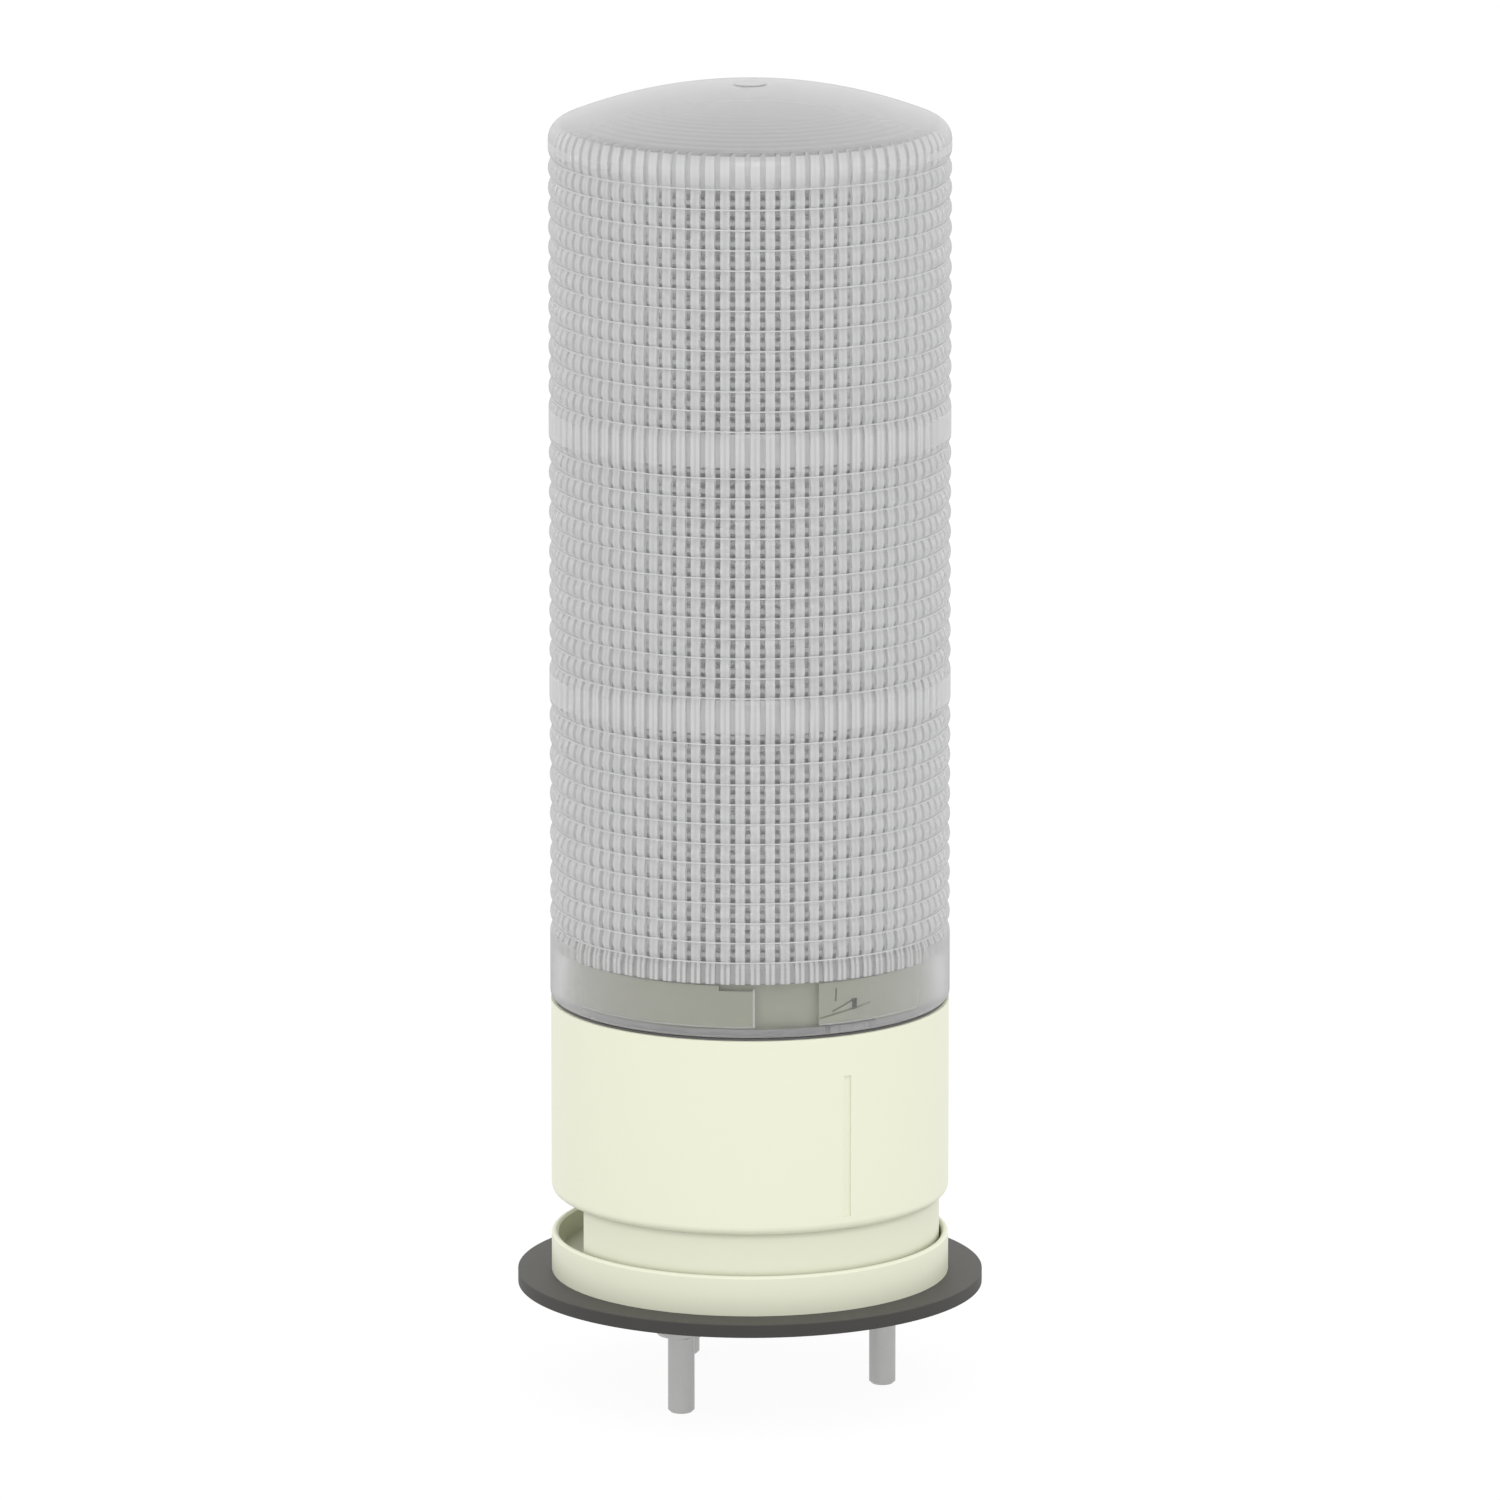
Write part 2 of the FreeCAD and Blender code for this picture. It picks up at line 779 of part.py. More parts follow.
def tower_cap():
    """The disc over the light tower, which holds the boards, the post and the sleeves."""
    hole = rod(cap_screw_d / 2 + screw_clearance, tower_top - overrun,
               tower_top + tower_cap_h + overrun)
    return rod(diffuser_r, tower_top, tower_top + tower_cap_h).cut(hole)


def cap_screw():
    """The one screw that holds the cap on the post."""
    return pan_screw(centre, tower_top + tower_cap_h, cap_screw_head_d, cap_screw_head_h,
                     cap_screw_d, cap_screw_length)


def lens_side():
    """Radii and levels up the lens's outside: the skirt, the beads and the plain bands."""
    notch = lens_r - bead_depth
    shoulder = lens_r - band_shoulder_depth
    points = [(lens_r - skirt_edge_round, lens_bottom), (lens_r, lens_bottom + skirt_edge_round)]
    level = beads_bottom
    points += [(lens_r, level - band_shoulder_h), (shoulder, level - band_shoulder_h / 2)]
    for tier in range(tier_count):
        points.append((notch, level))
        for i in range(top_beads if tier == tier_count - 1 else beads_in_tier):
            points += [(lens_r, level + bead_h / 2), (notch, level + bead_h)]
            level += bead_h
        points += [(shoulder, level + band_shoulder_h / 2), (lens_r, level + band_shoulder_h)]
        if tier < tier_count - 1:
            level += band_h
            points += [(lens_r, level - band_shoulder_h), (shoulder, level - band_shoulder_h / 2)]
    return points


def lens_outside():
    """The lens's outer form: the beaded side, a rounded shoulder and a shallow domed top."""
    side = [Vector(r, 0, z) for r, z in [(0, lens_bottom)] + lens_side()]
    side.append(Vector(lens_r, 0, dome_side_top))
    turn_at = Vector(lens_r - dome_round, 0, dome_side_top)
    outward = (turn_at - dome_centre).normalize()
    tangent = turn_at + outward * dome_round
    middle = (outward + Vector(1, 0, 0)).normalize()
    shoulder = Part.Arc(side[-1], turn_at + middle * dome_round, tangent).toShape()
    edges = Part.makePolygon(side).Edges + [shoulder, dome_arc(dome_rise_r, tangent.x)]
    edges.append(Part.makeLine(dome_centre + up * dome_rise_r, side[0]))
    gate = rod(gate_mark_d / 2, dome_top - overrun, dome_top + gate_mark_h)
    return joined([Part.Face(Part.Wire(edges)).revolve(centre, up, 360), gate])


def dome_arc(bulge, radius):
    """Half the section of a dome about the lens's dome centre, from a radius to the top."""
    ends = [dome_centre + Vector(r, 0, math.sqrt(bulge * bulge - r * r))
            for r in (radius, radius / 2, 0)]
    return Part.Arc(*ends).toShape()


def dome_hollow():
    """The smooth hollow under the domed top."""
    bulge = dome_rise_r - dome_wall
    rim = dome_arc(bulge, dome_hollow_r)
    low = flutes_top - overrun
    start = rim.Vertexes[0].Point
    foot = Part.makePolygon([Vector(0, 0, low), Vector(dome_hollow_r, 0, low), start])
    axis = Part.makeLine(rim.Vertexes[1].Point, Vector(0, 0, low))
    return Part.Face(Part.Wire(foot.Edges + [rim, axis])).revolve(centre, up, 360)


def flute_plan():
    """The fluted plan of the lens's inside: flat-topped ribs with flats between them."""
    points = []
    step = 360.0 / flute_count
    corners = ((-rib_foot_share, flute_valley_r), (-rib_crest_share, flute_ridge_r),
               (rib_crest_share, flute_ridge_r), (rib_foot_share, flute_valley_r))
    for i in range(flute_count):
        for share, radius in corners:
            corner = place(radius, first_rib_angle + step * (i + share / 2))
            points.append((corner.x, corner.y))
    return points


def lens_globe():
    """The one-piece lens: beads outside, flutes inside, and three lugs at its foot."""
    fluted = prism(flute_plan(), flutes_bottom - overrun, flutes_top)
    skirt = rod(skirt_inner_r, lens_bottom - overrun, flutes_bottom)
    shell = lens_outside().cut(fluted).cut(skirt).cut(dome_hollow())
    low = lens_bottom + lug_gap
    lug = sector(skirt_inner_r + skirt_wall / 2, lug_path_r + lug_gap, low, low + lug_h,
                 locked_angle - lug_span / 2, locked_angle + lug_span / 2)
    return joined([shell] + around(lug, bayonet_turns))


def save(name, shape):
    """Write one sub-part and print its size."""
    box = shape.BoundBox
    print(f"{name}: {len(shape.Solids)} solids, valid {shape.isValid()}, "
          f"z {box.ZMin:.2f} to {box.ZMax:.2f}, volume {shape.Volume / 1000:.3f} cm3")
    shape.exportStep(f"parts/{name}.step")


save("mounting_gasket", mounting_gasket())
save("base_flange", base_flange())
save("mounting_studs", at_studs(stud))
save("stud_washers", at_studs(stud_washer))
save("stud_nuts", at_studs(stud_nut))
save("flange_screws", flange_screws())
save("base_body", base_body())
save("cable_grommet", cable_grommet())
save("main_board", main_board())
save("board_screws", board_screws())
save("terminal_block", terminal_block())
save("capacitors", capacitors())
save("driver_chips", driver_chips())
save("board_sockets", board_sockets())
save("bayonet_chassis", bayonet_chassis())
save("chassis_screws", chassis_screws())
save("lens_seal", lens_seal())
save("board_carrier", board_carrier())
save("carrier_screws", carrier_screws())
for side, angle in zip(("front", "right", "left"), led_face_angles):
    save(f"led_board_{side}", led_board(angle))
for tier in range(tier_count):
    save(f"tier_{tier + 1}_leds", tier_leds(tier))
    save(f"tier_{tier + 1}_diffuser", tier_diffuser(tier))
    if tier < tier_count - 1:
        save(f"tier_{tier + 1}_partition", tier_partition(tier))
save("tower_cap", tower_cap())
save("cap_screw", cap_screw())
save("lens_globe", lens_globe())
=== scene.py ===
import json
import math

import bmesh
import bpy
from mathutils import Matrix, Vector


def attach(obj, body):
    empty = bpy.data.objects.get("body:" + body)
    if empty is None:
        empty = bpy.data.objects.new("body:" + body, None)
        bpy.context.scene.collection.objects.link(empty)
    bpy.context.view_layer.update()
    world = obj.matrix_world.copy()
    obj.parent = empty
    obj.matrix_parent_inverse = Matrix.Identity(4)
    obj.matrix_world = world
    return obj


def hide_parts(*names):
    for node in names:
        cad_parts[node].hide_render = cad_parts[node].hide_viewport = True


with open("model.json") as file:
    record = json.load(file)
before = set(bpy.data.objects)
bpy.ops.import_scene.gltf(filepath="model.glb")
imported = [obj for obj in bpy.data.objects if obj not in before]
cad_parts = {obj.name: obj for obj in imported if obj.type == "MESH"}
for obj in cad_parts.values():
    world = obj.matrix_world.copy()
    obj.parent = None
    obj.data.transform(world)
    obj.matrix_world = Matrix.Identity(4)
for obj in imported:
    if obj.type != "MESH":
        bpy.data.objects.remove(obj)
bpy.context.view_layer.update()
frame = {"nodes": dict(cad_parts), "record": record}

# %% [markdown]
# # A stack light in Blender
# A stack light is the round tower on top of a machine that shows its state in colour. This one
# is off, so its clear lens looks grey. The CAD model gives every piece its place and size. This
# lesson adds the finishes, and it builds the lens again, because the lens gets its look from
# fine beads and ribs that bend the light.

mm = 0.001
nodes = frame["nodes"]
print("pieces from the CAD model:", len(nodes))

# %% [markdown]
# # Camera
# The camera stands where the photographer's did, worked out from how flat each ring of the
# tower looks: nearly two metres away, half a metre up, a little to the left of the front. A
# long lens keeps the tower's sides nearly parallel.

# %% Place the camera
camera_turn = math.radians(-29.0)
camera_reach = 1.9662
camera_height = 0.5058
look_down = math.radians(12.17)
frame_width_at_tower = 0.2246

camera_data = bpy.data.cameras.new("photo_camera")
camera_data.sensor_width = 36.0
camera_data.lens = 36.0 * camera_reach / math.cos(look_down) / frame_width_at_tower
camera_data.clip_start = 0.05
camera_data.clip_end = 50.0
camera = bpy.data.objects.new("photo_camera", camera_data)
bpy.context.scene.collection.objects.link(camera)
camera.location = (camera_reach * math.sin(camera_turn), -camera_reach * math.cos(camera_turn),
                   camera_height)
camera.rotation_euler = (math.pi / 2 - look_down, 0.0, camera_turn)
bpy.context.scene.camera = camera
bpy.context.scene.view_settings.view_transform = "Standard"
print("camera lens in millimetres:", round(camera_data.lens, 1))

# %% [markdown]
# # Shader maths
# A material in Blender is a tree of nodes. Writing the maths of a tree as plain Python
# expressions keeps it readable. A Wire stands for one output socket, and each operator on a
# Wire adds a Math node.

# %% Wires
class Wire:
    """One output socket. Arithmetic on it adds Math nodes to its tree."""

    def __init__(self, recipe, socket):
        self.recipe = recipe
        self.socket = socket

    def maths(self, operation, *values):
        """A Math node of this operation."""
        return self.recipe.add("ShaderNodeMath", {"operation": operation},
                               dict(enumerate(values)))

    def __add__(self, other):
        return self.maths("ADD", self, other)

    def __sub__(self, other):
        return self.maths("SUBTRACT", self, other)

    def __rsub__(self, other):
        return self.maths("SUBTRACT", other, self)

    def __mul__(self, other):
        return self.maths("MULTIPLY", self, other)

    def __truediv__(self, other):
        return self.maths("DIVIDE", self, other)

    def __rtruediv__(self, other):
        return self.maths("DIVIDE", other, self)

    def __pow__(self, other):
        return self.maths("POWER", self, other)

    def __rpow__(self, other):
        return self.maths("POWER", other, self)

    def output(self, name):
        """Another output of the node that this Wire comes from."""
        return Wire(self.recipe, self.socket.node.outputs[name])

    __radd__ = __add__
    __rmul__ = __mul__


print("wires are ready")

# %% [markdown]
# # Recipes
# A recipe is the whole tree of a material. One method adds any node: its settings come first,
# because some of them decide which sockets the node has, and then each socket gets a value or
# a Wire.

# %% Recipes
class Recipe:
    """The node tree of one material or of the world."""

    def __init__(self, owner):
        owner.use_nodes = True
        self.tree = owner.node_tree
        self.tree.nodes.clear()

    def add(self, kind, settings=(), sockets=()):
        """Add a node, set it, then fill or wire its sockets. Its first output comes back."""
        node = self.tree.nodes.new(kind)
        for name, value in dict(settings).items():
            if name == "stops":
                elements = node.color_ramp.elements
                while len(elements) < len(value):
                    elements.new(0.5)
                for element, (position, colour) in zip(elements, value):
                    element.position = position
                    element.color = colour
            else:
                setattr(node, name, value)
        for name, value in dict(sockets).items():
            if isinstance(value, Wire):
                self.tree.links.new(value.socket, node.inputs[name])
            else:
                node.inputs[name].default_value = value
        return Wire(self, node.outputs[0]) if node.outputs else None


print("recipes are ready")

# %% [markdown]
# # Small helpers for finishes
# Most finishes start from the same few things: the place of a point in the part's own space,
# some noise, two colours that are blended, and fine relief in the normal.

# %% Colours, noise and relief
def grey(tone):
    """A plain grey, as a node wants it."""
    return (tone, tone, tone, 1.0)


def shade(colour, factor):
    """A colour with its brightness changed, as a node wants it."""
    return (*(min(1.0, c * factor) for c in colour[:3]), 1.0)


def start(name):
    """A new material, its recipe and the place of a point in the part's own space."""
    material = bpy.data.materials.new(name)
    recipe = Recipe(material)
    return material, recipe, recipe.add("ShaderNodeTexCoord").output("Object")


def end(material, recipe, surface):
    """Close a material's recipe with its surface."""
    recipe.add("ShaderNodeOutputMaterial", {}, {"Surface": surface})
    return material


def split(recipe, place):
    """A place's node with X, Y and Z as its outputs."""
    return recipe.add("ShaderNodeSeparateXYZ", {}, {0: place})


def from_axis(recipe, place):
    """A place's distance from the tower's axis, in metres."""
    axes = split(recipe, place)
    return (axes.output("X") ** 2.0 + axes.output("Y") ** 2.0) ** 0.5


def noise(recipe, place, scale, detail=2.0):
    """Noise at a place in the part, with scale in waves per metre."""
    return recipe.add("ShaderNodeTexNoise", {}, {"Vector": place, "Scale": scale, "Detail": detail})


def blend(recipe, share, one, other):
    """A colour between two others, by a share from 0 to 1."""
    return recipe.add("ShaderNodeMix", {"data_type": "RGBA"},
                      {0: share, 6: one, 7: other}).output(2)


def multiply(recipe, one, other):
    """Two colours multiplied."""
    return recipe.add("ShaderNodeMix", {"data_type": "RGBA", "blend_type": "MULTIPLY"},
                      {0: 1.0, 6: one, 7: other}).output(2)


def ramp(recipe, factor, *stops):
    """A grey that follows a factor through its stops of position and tone."""
    return recipe.add("ShaderNodeValToRGB", {
        "stops": [(position, grey(tone)) for position, tone in stops]}, {"Fac": factor})


def relief(recipe, strength, depth, height):
    """Fine relief in the normal, with its depth in metres."""
    return recipe.add("ShaderNodeBump", {}, {
        "Strength": strength, "Distance": depth, "Height": height})


print("helpers are ready")

# %% [markdown]
# # A finish for moulded pieces
# No real surface is one flat colour. Plastic comes out of the mould with a very fine grain and
# a faint flow of lighter and darker colour. This helper gives any finish a slow drift in its
# colour and gloss and a fine grain in its normal. It can also paint shade by height or by
# distance from the axis, for corners that soft light hardly reaches.

# %% A finish with drift and grain
gloss_drift = 0.06


def tone_along(recipe, tone, length, stops):
    """A tone changed along a length, by stops of millimetres and factor."""
    reach = stops[-1][0]
    return multiply(recipe, tone, ramp(recipe, length / (reach * mm), *(
        (level / reach, factor) for level, factor in stops)))


def finish(name, colour, roughness, drift=0.02, drift_scale=60.0, grain=0.03, grain_scale=4000.0,
           grain_depth=0.00004, by_height=(), by_radius=(), **constants):
    """A material with a drifting colour and gloss, a fine grain and painted shade by place."""
    material, recipe, place = start(name)
    flow = noise(recipe, place, drift_scale)
    tone = blend(recipe, flow, shade(colour, 1.0 - drift), shade(colour, 1.0 + drift))
    # painted shade: the tone is darkened by height and by distance from the axis
    if by_height:
        tone = tone_along(recipe, tone, split(recipe, place).output("Z"), by_height)
    if by_radius:
        tone = tone_along(recipe, tone, from_axis(recipe, place), by_radius)
    fine = noise(recipe, place, grain_scale, 3.0)
    sockets = {"Base Color": tone, "Roughness": roughness + gloss_drift * (flow - 0.5),
               "Normal": relief(recipe, grain, grain_depth, fine)}
    sockets.update(constants)
    return end(material, recipe, recipe.add("ShaderNodeBsdfPrincipled", {}, sockets))


print("moulded finishes are ready")

# %% [markdown]
# # The housing's cream plastic
# The body, its cup and the bayonet chassis are one cream plastic, moulded smooth with a satin
# sheen. Each has its own mix of it here, with painted shade: the neck darkens where it meets the
# body and the cup, and the cup towards its foot and inside, where soft light hardly reaches. The
# chassis has a slightly darker mix, painted shade because it stands in the shade of the lens.

# %% Cream plastic
cream_colour = (0.79, 0.80, 0.637)
cream_skin = {"drift": 0.008, "drift_scale": 25.0, "grain": 0.15, "grain_scale": 3500.0}

# painted shade: dark lines where the neck meets the cup and the body. The neck between is a little
# darker too.
cream_body = finish("cream_body", cream_colour, 0.42, **cream_skin, by_height=(
    (7.8, 0.80), (8.5, 0.93), (13.3, 0.93), (13.9, 0.80), (14.15, 0.80), (14.35, 1.0),
    (50.0, 1.0)))
# painted shade: the cup is darker towards its foot, at its rim by the neck, and on its inner wall
cream_cup = finish("cream_cup", cream_colour, 0.42, **cream_skin, by_height=(
    (0.0, 0.90), (2.0, 0.90), (5.0, 0.97), (7.5, 0.98), (8.0, 0.90)), by_radius=(
    (0.0, 0.60), (28.7, 0.62), (29.2, 1.0), (40.0, 1.0)))
# painted shade: a darker copy of the cream for the chassis in the lens's shade
collar_cream_painted_shade = finish("collar_cream_painted_shade", (0.67, 0.68, 0.548), 0.45, **cream_skin)
print("cream plastics:", cream_body.name, cream_cup.name, collar_cream_painted_shade.name)

# %% [markdown]
# # White and milky plastic
# Inside the lens stand a white post and thin milky sleeves that spread the light of the lamps.
# A milky plastic scatters light at any angle, and sheen adds that at its edges.

# %% White and milky plastic
white = finish("white_plastic", (0.96, 0.96, 0.955), 0.5, drift=0.01)
milky = finish("milky_plastic", (0.87, 0.87, 0.87), 0.55, drift=0.01,
               **{"Sheen Weight": 1.0, "Sheen Roughness": 0.5})
print("pale plastics:", white.name, milky.name)

# %% [markdown]
# # Rubber
# The gasket is a punched disc of dark rubber. Rubber scatters light widely, so it is rough, and
# its grain is coarser than that of plastic. Painted shade darkens its cut edge below its pressed
# top face.

# %% Gasket rubber
# painted shade: below 1.8 mm the cut edge has 0.62 of the top face's tone
rubber = finish("gasket_rubber", (0.056, 0.054, 0.048), 0.62, drift=0.10, drift_scale=300.0,
                grain=0.35, grain_scale=1800.0,
                by_height=((0.0, 0.62), (1.8, 0.62), (1.9, 1.0), (2.0, 1.0)))
seal_rubber = finish("seal_rubber", (0.11, 0.11, 0.11), 0.5, drift=0.05, drift_scale=300.0)
print("rubber:", rubber.name, seal_rubber.name)

# %% [markdown]
# # Plated steel
# The studs, nuts and screws are plated steel with a soft, even shine. Drawing the bar leaves
# faint lines along it, so the noise is stretched along the height.

# %% Plated steel
def plated_steel():
    """Plated steel with faint drawn lines up the height."""
    material, recipe, place = start("plated_steel")
    stretched = recipe.add("ShaderNodeVectorMath", {"operation": "MULTIPLY"},
                           {0: place, 1: (1.0, 1.0, 0.04)})
    lines = noise(recipe, stretched, 5000.0)
    cloud = noise(recipe, place, 400.0)
    tone = blend(recipe, cloud, (0.40, 0.40, 0.395, 1.0), (0.46, 0.46, 0.455, 1.0))
    return end(material, recipe, recipe.add("ShaderNodeBsdfPrincipled", {}, {
        "Base Color": tone, "Metallic": 0.9, "Roughness": 0.36 + 0.12 * (cloud - 0.5),
        "Normal": relief(recipe, 0.12, 0.00003, lines)}))


steel = plated_steel()
print("steel:", steel.name)

# %% [markdown]
# # The small parts inside
# The circuit boards have a green mask with copper tracks under it, which show as a slightly
# lighter grid. The other small parts are plain mouldings.

# %% Finishes of the inner parts
def board_finish():
    """Green board with a faint grid of tracks under the mask."""
    material, recipe, place = start("circuit_board")
    cells = recipe.add("ShaderNodeTexVoronoi", {"distance": "CHEBYCHEV", "feature": "F1"},
                       {"Vector": place, "Scale": 420.0, "Randomness": 0.35})
    track = cells.maths("GREATER_THAN", cells, 0.42)
    tone = blend(recipe, track, (0.012, 0.085, 0.025, 1.0), (0.03, 0.16, 0.05, 1.0))
    return end(material, recipe, recipe.add("ShaderNodeBsdfPrincipled", {}, {
        "Base Color": tone, "Roughness": 0.3 + 0.1 * track,
        "Normal": relief(recipe, 0.2, 0.00003, track)}))


board = board_finish()
terminal_green = finish("terminal_green", (0.03, 0.22, 0.07), 0.5, drift=0.04)
sleeve_black = finish("capacitor_sleeve", (0.012, 0.014, 0.022), 0.3, drift=0.1)
moulded_black = finish("moulded_black", (0.012, 0.012, 0.012), 0.45, drift=0.1)
lamp = finish("lamp_package", (0.80, 0.76, 0.45), 0.35, drift=0.05, drift_scale=500.0)
print("inner finishes:", board.name, lamp.name)

# %% [markdown]
# # Clear lens plastic
# The lens is clear with a slight smoke tint, and light really bends in it. Very faint ripples
# from the mould soften it. The inside of the skirt has a deeper tint, and the notches between
# the beads are matt. Where the eye looks along the wall it looks through far more plastic, and
# the plastic's slight haze adds up, so a Layer Weight node mixes in haze. It starts earlier in
# the plain bands and the skirt, where the wall is thickest.

# %% Clear plastic
plastic_ior = 1.49


def clear_plastic(name, tint, least, most, slant_mix=0.0, onset=1.3, haze_tone=0.48):
    """Clear plastic with faint ripples, its least and most roughness, and its haze."""
    material, recipe, place = start(name)
    ripple = noise(recipe, place, 250.0)
    tone = blend(recipe, ripple, shade(tint, 0.98), shade(tint, 1.02))
    surface = recipe.add("ShaderNodeBsdfPrincipled", {}, {
        "Base Color": tone, "Roughness": least + (most - least) * ripple, "IOR": plastic_ior,
        "Transmission Weight": 1.0, "Normal": relief(recipe, 0.05, 0.00005, ripple)})
    if slant_mix:
        facing = recipe.add("ShaderNodeLayerWeight", {}, {"Blend": 0.5}).output("Facing")
        cloudy = recipe.add("ShaderNodeBsdfDiffuse", {}, {"Color": grey(haze_tone)})
        surface = recipe.add("ShaderNodeMixShader", {}, {
            0: slant_mix * facing ** onset, 1: surface, 2: cloudy})
    return end(material, recipe, surface)


clear = clear_plastic("clear_plastic", (0.97, 0.972, 0.972), 0.10, 0.13, 0.9, 2.3, 0.50)
deep = clear_plastic("deep_plastic", (0.72, 0.722, 0.722), 0.05, 0.09)
band = clear_plastic("band_plastic", (0.98, 0.98, 0.98), 0.12, 0.16, 1.0, 1.7, 0.60)
skirt = clear_plastic("skirt_plastic", (0.98, 0.98, 0.98), 0.12, 0.16, 1.0)
notch = finish("notch_plastic", (0.60, 0.60, 0.60), 0.45, drift=0.02, drift_scale=300.0)
print("lens plastics:", clear.name, deep.name, band.name, skirt.name, notch.name)

# %% [markdown]
# # Where a point lies among the ribs and beads
# Inside, the lens has eighty upright ribs with flats between them. Outside, it has beads. The
# tones of the inner wall follow both, and two numbers carry this: how far a point is round
# towards the next rib, and how far up its bead.

# %% Shares round and up
rib_count = 80
rib_angle = -119.7
beads_start = 55.8
bead_pitch = 3.0
tier_pitch = 40.0
band_height = 7.0


def share_round(recipe, axes):
    """0 in the middle of a flat and 1 in the middle of a rib."""
    turn = axes.maths("ARCTAN2", axes.output("Y"), axes.output("X"))
    steps = turn * (rib_count / (2.0 * math.pi)) - rib_angle * rib_count / 360.0
    part = steps.maths("FRACT", steps)
    off_middle = 2.0 * part - 1.0
    return off_middle.maths("ABSOLUTE", off_middle)


def share_up_bead(recipe, axes):
    """0 at the lower notch of a bead and 1 at its upper notch."""
    height = axes.output("Z") / mm - (beads_start - band_height / 2)
    tier_share = height / tier_pitch
    in_tier = tier_share.maths("FRACT", tier_share) * tier_pitch - band_height / 2
    beads = in_tier / bead_pitch
    return beads.maths("FRACT", beads)


print("ribs:", rib_count, "beads every", bead_pitch, "mm")

# %% [markdown]
# # Satin flats
# The flats between the ribs have a satin finish from the mould, which scatters light and looks
# pale. Their middle is a trace darker. Painted light changes the tone a little with height, once
# in every bead: lighter behind the bead's middle and darker towards its notches.

# %% The satin flats' finish
def satin_stripes():
    """The satin flats between the ribs, with a dip in tone along their middle and painted light in
    each bead.
    """
    material, recipe, place = start("satin_stripes")
    axes = split(recipe, place)
    across = ramp(recipe, share_round(recipe, axes), (0.0, 0.91), (0.10, 0.92), (0.30, 0.99),
                  (0.42, 1.0))
    # painted light: lighter behind the middle of each bead, darker towards its notches
    up = ramp(recipe, share_up_bead(recipe, axes), (0.10, 0.97), (0.28, 1.0), (0.50, 1.0),
              (0.66, 0.97))
    grain = noise(recipe, place, 3000.0, 3.0)
    return end(material, recipe, recipe.add("ShaderNodeBsdfPrincipled", {}, {
        "Base Color": multiply(recipe, across, up), "Roughness": 0.5 + 0.1 * grain,
        "IOR": plastic_ior, "Transmission Weight": 0.06, "Sheen Weight": 0.5,
        "Sheen Roughness": 0.5, "Normal": relief(recipe, 0.05, 0.00004, grain)}))


satin = satin_stripes()
print("satin flats:", satin.name)

# %% [markdown]
# # Bright stripes
# Behind the plain bands the whole inner wall is painted pale, in upright stripes: brightest on
# both sides of a flat as painted highlights, with a dip in its middle, and darkest behind a rib as
# painted shade. The ribs' ends under the dome have a softer form of it, and their feet in the
# skirt have the strongest.

# %% The bright stripes' finishes
def bright_stripes(name, pale, dip, dark):
    """Stripes of painted light and shade, with the tones beside and in the middle of a flat and
    behind a rib.
    """
    material, recipe, place = start(name)
    axes = split(recipe, place)
    # painted highlight pale beside a flat, painted shade dark behind a rib
    across = ramp(recipe, share_round(recipe, axes), (0.0, dip), (0.10, dip), (0.22, pale),
                  (0.60, pale), (0.66, dark))
    grain = noise(recipe, place, 3000.0, 3.0)
    return end(material, recipe, recipe.add("ShaderNodeBsdfPrincipled", {}, {
        "Base Color": across, "Roughness": 0.5 + 0.1 * grain, "IOR": plastic_ior,
        "Sheen Weight": 1.0, "Sheen Roughness": 0.5}))


bright = bright_stripes("bright_stripes", 1.0, 0.88, 0.82)
rim = bright_stripes("rim_stripes", 0.93, 0.90, 0.80)
foot = bright_stripes("foot_stripes", 1.0, 0.66, 0.70)
print("bright stripes:", bright.name, rim.name, foot.name)

# %% [markdown]
# # Polished rib tops
# The ribs' tops are polished, so the eye passes through them to the shaded inside, and they
# look like darker stripes. In each bead they have painted shade at the foot and a small painted
# highlight above it. On the tower's sides, where the eye meets them at a slant, a pale patch is
# painted behind the middle of each bead, as painted light for the light that the beads bend.

# %% The rib tops' finish
painted_light_from = 0.1
painted_light_gain = 2.8


def clear_stripes():
    """The polished tops of the ribs, with painted shade at the foot and a painted highlight in each
    bead.
    """
    material, recipe, place = start("clear_stripes")
    axes = split(recipe, place)
    bead = share_up_bead(recipe, axes)
    # painted shade at each bead's foot, with the tone lighter above it
    up = ramp(recipe, bead, (0.0, 0.50), (0.23, 0.55), (0.27, 1.0), (0.36, 1.0), (0.40, 0.92),
              (0.66, 1.0))
    # painted highlight: a small pale step in each bead
    step = ramp(recipe, bead, (0.24, 0.0), (0.28, 0.8), (0.36, 0.8), (0.42, 0.0))
    # painted light: at a slant, a pale patch behind the middle of each bead for the light the beads
    # bend
    slanting = recipe.add("ShaderNodeLayerWeight", {}, {"Blend": 0.9}).output("Facing")
    behind_bead = ramp(recipe, bead, (0.22, 0.0), (0.32, 1.0), (0.66, 1.0), (0.84, 0.0))
    slant_mix = painted_light_gain * (slanting - painted_light_from) * behind_bead
    ripple = noise(recipe, place, 250.0)
    polished = recipe.add("ShaderNodeBsdfPrincipled", {}, {
        "Base Color": up, "Roughness": 0.05 + 0.04 * ripple, "IOR": plastic_ior,
        "Transmission Weight": 1.0})
    pale = recipe.add("ShaderNodeBsdfPrincipled", {}, {
        "Base Color": grey(0.8), "Roughness": 0.5, "IOR": plastic_ior})
    return end(material, recipe, recipe.add("ShaderNodeMixShader", {}, {
        0: step.maths("MAXIMUM", step, slant_mix), 1: polished, 2: pale}))


stripes = clear_stripes()
print("rib tops:", stripes.name)

